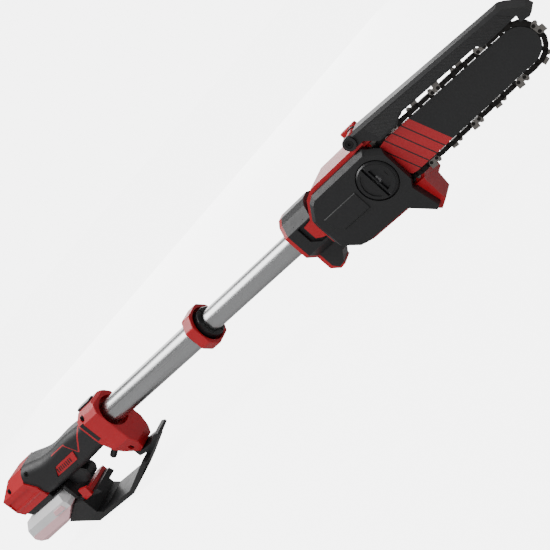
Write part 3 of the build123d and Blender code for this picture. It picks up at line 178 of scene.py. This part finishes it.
def finish(name, colour, rough, metal=0.0, coat=0.0, grain=1100.0, depth=0.00003,
           drift=0.10, rub=0.08, drawn=(1.0, 1.0, 1.0)):
    """Colour drifts with slow noise, roughness with middling noise, and the bump is fine noise.

    drawn scales the noise's coordinates: under 1 stretches the noise that way, as on drawn metal.
    """
    material = bpy.data.materials.new(name)
    material.use_nodes = True
    tree = material.node_tree
    shader = tree.nodes["Principled BSDF"]
    shader.inputs["Metallic"].default_value = metal
    shader.inputs["Coat Weight"].default_value = coat
    place = tree.nodes.new("ShaderNodeTexCoord")
    stretch = add_node(tree, "ShaderNodeMapping", Scale=drawn)
    tree.links.new(place.outputs["Object"], stretch.inputs["Vector"])

    slow = add_node(tree, "ShaderNodeTexNoise", Scale=drift_scale, Detail=3.0)
    shade = tree.nodes.new("ShaderNodeMix")
    shade.data_type = "RGBA"
    shade.inputs[6].default_value = tinted(colour, 1.0 - drift)
    shade.inputs[7].default_value = tinted(colour, 1.0 + drift)
    tree.links.new(stretch.outputs["Vector"], slow.inputs["Vector"])
    tree.links.new(slow.outputs["Fac"], shade.inputs[0])
    tree.links.new(shade.outputs[2], shader.inputs["Base Color"])

    patches = add_node(tree, "ShaderNodeTexNoise", Scale=patch_scale, Detail=4.0)
    gloss = tree.nodes.new("ShaderNodeMapRange")
    gloss.inputs["To Min"].default_value = rough - rub
    gloss.inputs["To Max"].default_value = rough + rub
    tree.links.new(stretch.outputs["Vector"], patches.inputs["Vector"])
    tree.links.new(patches.outputs["Fac"], gloss.inputs["Value"])
    tree.links.new(gloss.outputs["Result"], shader.inputs["Roughness"])

    fine = add_node(tree, "ShaderNodeTexNoise", Scale=grain, Detail=2.0)
    bump = add_node(tree, "ShaderNodeBump", Strength=bump_strength, Distance=depth)
    tree.links.new(stretch.outputs["Vector"], fine.inputs["Vector"])
    tree.links.new(fine.outputs["Fac"], bump.inputs["Height"])
    tree.links.new(bump.outputs["Normal"], shader.inputs["Normal"])
    return material


# %% [markdown]
# ## The finishes
# One finish for each material of the saw. Plastics are rough and barely shiny, the tubes are drawn
# aluminium whose grain runs along X, the cutters are bright and the rest of the chain is oiled.

# %% Finishes of the whole saw
lengthwise = (0.02, 1.0, 1.0)
finishes = {
    "red_plastic": finish("red_plastic", (0.50, 0.006, 0.014), 0.42, coat=0.06),
    "black_plastic": finish("black_plastic", (0.013, 0.013, 0.014), 0.44),
    "grip_rubber": finish("grip_rubber", (0.015, 0.015, 0.016), 0.52, grain=800.0, depth=0.00006),
    "dark_plastic": finish("dark_plastic", (0.010, 0.010, 0.011), 0.34, grain=1500.0, depth=0.00001),
    "tube_aluminium": finish("tube_aluminium", (0.46, 0.465, 0.47), 0.26, metal=1.0, drift=0.03,
                             rub=0.05, depth=0.000006, drawn=lengthwise),
    "bar_steel": finish("bar_steel", (0.010, 0.010, 0.011), 0.50, coat=0.15, depth=0.00001),
    "chain_steel": finish("chain_steel", (0.028, 0.026, 0.025), 0.40, metal=0.9, drift=0.3),
    "bright_steel": finish("bright_steel", (0.42, 0.42, 0.43), 0.30, metal=1.0, drift=0.08),
    "blackened_steel": finish("blackened_steel", (0.020, 0.020, 0.020), 0.42, metal=0.6),
    "cutter_steel": finish("cutter_steel", (0.24, 0.225, 0.21), 0.34, metal=0.9, drift=0.15),
    "copper": finish("copper", (0.72, 0.30, 0.16), 0.35, metal=1.0, drawn=(1.0, 0.1, 0.1)),
    "board": finish("board", (0.02, 0.16, 0.06), 0.45, coat=0.2),
    "lead_sheath": finish("lead_sheath", (0.015, 0.015, 0.015), 0.55, drawn=lengthwise),
    "tank_plastic": finish("tank_plastic", (0.70, 0.66, 0.52), 0.40),
    "battery_grey": finish("battery_grey", (0.80, 0.80, 0.81), 0.45, drift=0.05),
    "battery_pink": finish("battery_pink", (0.95, 0.58, 0.61), 0.45, drift=0.05),
    "cell_wrap": finish("cell_wrap", (0.10, 0.22, 0.42), 0.30, coat=0.3),
    "terminal_brass": finish("terminal_brass", (0.75, 0.55, 0.22), 0.30, metal=1.0),
}
print("finishes:", len(finishes))

# %% [markdown]
# ## Which piece has which finish
# Each CAD piece has one finish. The list reads like a bill of materials, and every name in it is a
# piece of the frame.

# %% Give every CAD piece its finish
pieces_in = {
    "tube_aluminium": "lower_tube upper_tube",
    "lead_sheath": "pole_lead",
    "dark_plastic": "clamp_collet bar_knob knob_grip power_button button_switch release_lever "
                    "trigger trigger_switch",
    "red_plastic": "clamp_ring neck_ring hook_rim motor_housing_right motor_housing_left oil_cap "
                   "front_housing_right front_housing_left grip_inset_right grip_inset_left "
                   "rear_housing_right rear_housing_left lock_off_slider",
    "black_plastic": "neck_right neck_left side_cover chain_guard battery_rail hand_guard strap_hook",
    "grip_rubber": "grip_right grip_left",
    "bright_steel": "knob_pin bar_stud drive_sprocket motor_shaft motor_bearings lever_pin "
                    "trigger_pin",
    "blackened_steel": "guard_screw handle_screws",
    "bar_steel": "guide_bar",
    "chain_steel": "chain_drive_links chain_tie_straps chain_rivets motor_rotor",
    "cutter_steel": "chain_cutters",
    "copper": "motor_stator",
    "board": "control_board",
    "tank_plastic": "oil_tank",
    "terminal_brass": "rail_terminals",
    "battery_grey": "battery_top",
    "battery_pink": "battery_base battery_release",
    "cell_wrap": "battery_cells",
}
for finish_name, names in pieces_in.items():
    for name in names.split():
        for material_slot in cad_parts[name].material_slots:
            material_slot.material = finishes[finish_name]
listed = sum(len(names.split()) for names in pieces_in.values())
print("CAD pieces with a finish:", listed, "of", len(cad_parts))

# %% [markdown]
# ## Printed and moulded-in colour
# The bar carries slanted red bands and the grip has thin red lines let into the rubber. Both are flat
# on the surface, so they are colour and not shape. A stroke is the set of points within half a width
# of a line, so a band or a line needs only the distance from a point to it.

# %% Strokes in a material
def side_point(tree):
    """The point seen from the side: the object's X and Z, with Y flattened to 0."""
    place = tree.nodes.new("ShaderNodeTexCoord")
    flatten = tree.nodes.new("ShaderNodeVectorMath")
    flatten.operation = "MULTIPLY"
    flatten.inputs[1].default_value = (1.0, 0.0, 1.0)
    tree.links.new(place.outputs["Object"], flatten.inputs[0])
    return flatten.outputs[0]


def maths(tree, operation, a, b):
    """The result of one sum on two values, each either a socket or a number."""
    node = tree.nodes.new("ShaderNodeMath")
    node.operation = operation
    for k, value in enumerate((a, b)):
        if isinstance(value, (int, float)):
            node.inputs[k].default_value = value
        else:
            tree.links.new(value, node.inputs[k])
    return node.outputs[0]


def along(tree, point, direction):
    """How far the point lies along a direction in the side view, from the origin."""
    node = tree.nodes.new("ShaderNodeVectorMath")
    node.operation = "DOT_PRODUCT"
    node.inputs[1].default_value = (direction[0], 0.0, direction[1])
    tree.links.new(point, node.inputs[0])
    return node.outputs["Value"]


def stroke(tree, point, start, end, width):
    """1 within a slanted box along the line from start to end, square at both ends, else 0."""
    start, end = np.array(start), np.array(end)
    length = float(np.linalg.norm(end - start))
    way = (end - start) / length
    across = np.array([-way[1], way[0]])
    middle = (start + end) / 2
    box = None
    for direction, reach in ((way, length / 2), (across, width / 2)):
        offset = maths(tree, "SUBTRACT", along(tree, point, direction), float(middle @ direction))
        inside = maths(tree, "LESS_THAN", maths(tree, "ABSOLUTE", offset, 0.0), reach)
        box = inside if box is None else maths(tree, "MULTIPLY", box, inside)
    return box


def paint(material, colour, mask):
    """Puts the colour over the material's own colour where the mask is 1."""
    tree = material.node_tree
    shader = tree.nodes["Principled BSDF"]
    under = shader.inputs["Base Color"].links[0].from_socket
    over = tree.nodes.new("ShaderNodeMix")
    over.data_type = "RGBA"
    over.inputs[7].default_value = (*colour, 1.0)
    tree.links.new(mask, over.inputs[0])
    tree.links.new(under, over.inputs[6])
    tree.links.new(over.outputs[2], shader.inputs["Base Color"])


# %% [markdown]
# ## Red bands on the bar
# Five bands stand side by side, all leaning forward, with a thin dark gap between them. Each is a
# stroke much longer than the bar is wide, so the bar's own edges cut its ends.

# %% Red bands on the bar
band_red = (0.50, 0.014, 0.022)
band_lean = np.array([0.346, -0.938])     # the way a band runs, down and forward
band_across = np.array([0.938, 0.346])
band_edge = 0.4651                        # foremost edge, measured across the bands
band_pitch = 0.0095
band_gap = 0.0012
band_count = 5
band_reach = 0.3                          # half a band's length, well past the bar's edges
bar_tree = finishes["bar_steel"].node_tree
bar_point = side_point(bar_tree)
bands = None
for k in range(band_count):
    centre = band_across * (band_edge - band_pitch * (k + 0.5))
    ends = centre - band_reach * band_lean, centre + band_reach * band_lean
    band = stroke(bar_tree, bar_point, ends[0], ends[1], band_pitch - band_gap)
    bands = band if bands is None else maths(bar_tree, "MAXIMUM", bands, band)
paint(finishes["bar_steel"], band_red, bands)
print("bands on the bar:", band_count)

# %% [markdown]
# ## Red lines in the grip
# One line runs down from the front housing and turns back up to the inset. The first part is bolder.

# %% Red lines in the grip
line_width = 0.0011
bold_width = line_width * 1.8
grip_lines = (
    ((-0.0830, 0.0190), (-0.1150, -0.0055), bold_width),
    ((-0.1150, -0.0055), (-0.1245, 0.0140), line_width),
    ((-0.1245, 0.0137), (-0.1535, 0.0137), line_width),
)
grip_tree = finishes["grip_rubber"].node_tree
grip_point = side_point(grip_tree)
lines = None
for start, end, width in grip_lines:
    line = stroke(grip_tree, grip_point, start, end, width)
    lines = line if lines is None else maths(grip_tree, "MAXIMUM", lines, line)
paint(finishes["grip_rubber"], band_red, lines)
print("lines in the grip:", len(grip_lines))

# %% [markdown]
# ## Trims
# Some details stand out of a wall: the panel on the chain guard, two rows of ribs on the grip, and the
# black strip on the front housing. Each is a flat outline carried a short way along Y, which is how a
# mould makes it. The same helpers make them all.

# %% An outline carried along a path
edge_steps = 2          # cuts across each eased edge


def skin(grid):
    """Closed skin over rings of points: walls join one ring to the next, and the ends are filled."""
    rings, sides = grid.shape[:2]
    here = np.arange(sides)
    after = np.roll(here, -1)
    start = (np.arange(rings - 1) * sides)[:, None]
    walls = np.stack([start + here, start + after, start + sides + after, start + sides + here], -1)
    ends = [here[::-1].tolist(), (here + (rings - 1) * sides).tolist()]
    return grid.reshape(-1, 3), walls.reshape(-1, 4).tolist() + ends


def carried(outline, path):
    """Ring after ring of points: each path point plus every point of the outline."""
    return skin(path[:, None, :] + outline[None, :, :])


def plates(outlines, near, far):
    """Every outline, given as X and Z pairs, as a plate between two values of Y."""
    made = []
    for outline in outlines:
        flat = np.array([(x, 0.0, z) for x, z in outline])
        made.append(carried(flat, np.array([(0.0, near, 0.0), (0.0, far, 0.0)])))
    return made


def piece(name, shells, material, body, edge=0.0):
    """One object from a list of closed shells, with faces outward and its sharp edges eased."""
    mesh = bpy.data.meshes.new(name)
    counts = np.cumsum([0] + [len(v) for v, _ in shells])
    points = np.concatenate([v for v, _ in shells])
    faces = [[int(i + n) for i in f] for n, (_, fs) in zip(counts, shells) for f in fs]
    mesh.from_pydata(points.tolist(), [], faces)
    work = bmesh.new()
    work.from_mesh(mesh)
    bmesh.ops.recalc_face_normals(work, faces=work.faces)
    work.to_mesh(mesh)
    work.free()
    made = bpy.data.objects.new(name, mesh)
    bpy.context.scene.collection.objects.link(made)
    made.data.materials.append(material)
    if edge:
        easing = made.modifiers.new("eased_edges", "BEVEL")
        easing.width = edge
        easing.segments = edge_steps
        easing.limit_method = "ANGLE"
    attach(made, body)
    print(name, len(shells), "shells,", len(faces), "faces")
    return made


# %% [markdown]
# ## The guard's hatched panel
# The panel has fine slanted grooves. They are far too small to be worth modelling, so a wave texture
# drives the bump, and takes the place of the finish's own fine bump.

# %% Hatched panel on the chain guard
hatch_lean = 0.75       # radians about Y
hatch_scale = 260.0
hatch_depth = 0.0003
hatched = finish("hatched_plastic", (0.016, 0.016, 0.017), 0.5)
hatch_tree = hatched.node_tree
hatch_place = hatch_tree.nodes.new("ShaderNodeTexCoord")
hatch_turn = add_node(hatch_tree, "ShaderNodeMapping", Rotation=(0.0, hatch_lean, 0.0))
hatch_wave = add_node(hatch_tree, "ShaderNodeTexWave", Scale=hatch_scale, Distortion=0.0)
hatch_bump = add_node(hatch_tree, "ShaderNodeBump", Strength=1.0, Distance=hatch_depth)
hatch_tree.links.new(hatch_place.outputs["Object"], hatch_turn.inputs["Vector"])
hatch_tree.links.new(hatch_turn.outputs["Vector"], hatch_wave.inputs["Vector"])
hatch_tree.links.new(hatch_wave.outputs["Fac"], hatch_bump.inputs["Height"])
hatch_tree.links.new(hatch_bump.outputs["Normal"],
                     hatch_tree.nodes["Principled BSDF"].inputs["Normal"])
panel = [(0.4570, 0.0415), (0.6025, 0.0338), (0.6110, 0.0238), (0.5770, 0.0240), (0.5735, 0.0275),
         (0.4905, 0.0310), (0.4805, 0.0255), (0.4620, 0.0255)]
panel_root = -0.0379    # just inside the guard's wall, so that no gap shows
guard_face = -0.0380
panel_stands = 0.00025
panel_edge = 0.0001
piece("guard_panel", plates([panel], panel_root, guard_face - panel_stands), hatched,
      "chain_guard", edge=panel_edge)

# %% [markdown]
# ## Ribs and strips on the handle
# A row of slanted ribs stands on the inset, a second row of the same ribs stands below it, and a strip
# stands on the front housing. The handle has the same trims on both walls, so one helper makes the
# near one and the far one. Each starts a little inside the wall, so that no gap shows.

# %% Ribs and strips on the handle
rib_count = 8
rib_pitch = 0.0042
rib_width = 0.0018
rib_lean = 0.0022
rib_first = -0.1660
inset_rib_heights = (-0.0085, -0.0025)
low_rib_heights = (-0.0170, -0.0122)
strip = [(-0.0755, -0.0110), (-0.0690, -0.0110), (-0.0690, 0.0170), (-0.0755, 0.0170)]


def rib_row(bottom, top):
    """The outlines of one row of ribs, each leaning forward by rib_lean from bottom to top."""
    return [[(x, bottom), (x + rib_width, bottom), (x + rib_width + rib_lean, top), (x + rib_lean, top)]
            for x in rib_first + rib_pitch * np.arange(rib_count)]


def both_sides(name, outlines, root, face, edge):
    """Plates in dark plastic on both walls of the handle, from root out to face, as distances in Y."""
    for side, sign in (("near", -1), ("far", 1)):
        piece(f"{name}_{side}", plates(outlines, sign * root, sign * face), finishes["dark_plastic"],
              "handle", edge=edge)


both_sides("inset_ribs", rib_row(*inset_rib_heights), root=0.0182, face=0.0195, edge=0.0002)
both_sides("grip_ribs", rib_row(*low_rib_heights), root=0.0160, face=0.0185, edge=0.0002)
both_sides("housing_strip", [strip], root=0.0195, face=0.0213, edge=0.0004)

# %% [markdown]
# ## The coiled lead inside the pole
# A lead runs from the handle to the motor through the pole, coiled so that it gets shorter and longer
# with it. The CAD piece is stiff. Here it is a helix of rings, each square to the wire, carried with
# the handle in place of the CAD piece.

# %% Coiled lead
coil_start, coil_end = -0.0740, 0.3450
coil_radius, coil_pitch, wire_radius = 0.0066, 0.0090, 0.0025
steps_per_turn, wire_sides = 16, 8


def coil():
    """X grows evenly with the turns, and Y and Z go round a circle.

    The wire's rings lie in the plane of the outward direction and the one square to it and the wire.
    """
    turns = (coil_end - coil_start) / coil_pitch
    turn = np.linspace(0.0, turns, int(turns * steps_per_turn))
    angle = 2 * np.pi * turn
    outward = np.stack([0 * angle, np.cos(angle), np.sin(angle)], -1)
    centre = coil_radius * outward + np.stack([coil_start + coil_pitch * turn, 0 * turn, 0 * turn], -1)
    way = np.gradient(centre, axis=0)
    way /= np.linalg.norm(way, axis=1, keepdims=True)
    beside = np.cross(way, outward)
    around = np.linspace(0, 2 * np.pi, wire_sides, endpoint=False)[None, :, None]
    ring = np.cos(around) * outward[:, None] + np.sin(around) * beside[:, None]
    return skin(centre[:, None] + wire_radius * ring)


lead = piece("coiled_lead", [coil()], finishes["lead_sheath"], "handle")
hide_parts("pole_lead")
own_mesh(lead)
